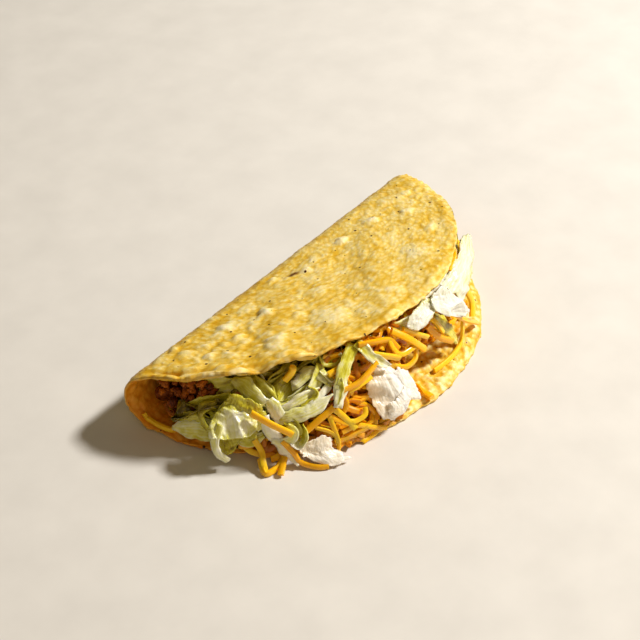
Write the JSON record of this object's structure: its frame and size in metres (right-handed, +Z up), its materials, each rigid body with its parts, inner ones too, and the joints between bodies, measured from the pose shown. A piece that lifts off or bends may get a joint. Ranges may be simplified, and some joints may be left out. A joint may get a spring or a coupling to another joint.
{
  "type": "taco",
  "caption": "Crunchy corn taco lying on its side, its folded shell filled with ground beef, shredded lettuce and shredded cheese.",
  "frame": {"origin": "bottom centre of the whole taco's box, on the flat face that it rests on", "axes": "+X along the fold, +Y from the mouth towards the fold, +Z up from the lower flap to the upper flap"},
  "size_m": [0.14, 0.0704, 0.0329],
  "materials": {
    "toasted_corn": "dry fried corn tortilla, blistered, with browner hollows",
    "browned_beef": "moist browned crumbs",
    "green_lettuce": "crisp moist leaf, green to nearly white",
    "pale_lettuce": "crisp moist leaf heart, nearly white",
    "cheddar": "soft slightly oily cheese"
  },
  "bodies": {
    "root": {"corn_shell": "toasted_corn", "ground_beef": "browned_beef", "shredded_lettuce": "green_lettuce", "shredded_cheese": "cheddar", "lettuce_heart": "pale_lettuce", "lettuce_leaf_left": "green_lettuce", "lettuce_leaf_low": "pale_lettuce", "lettuce_leaf_right": "pale_lettuce"}
  },
  "joints": []
}
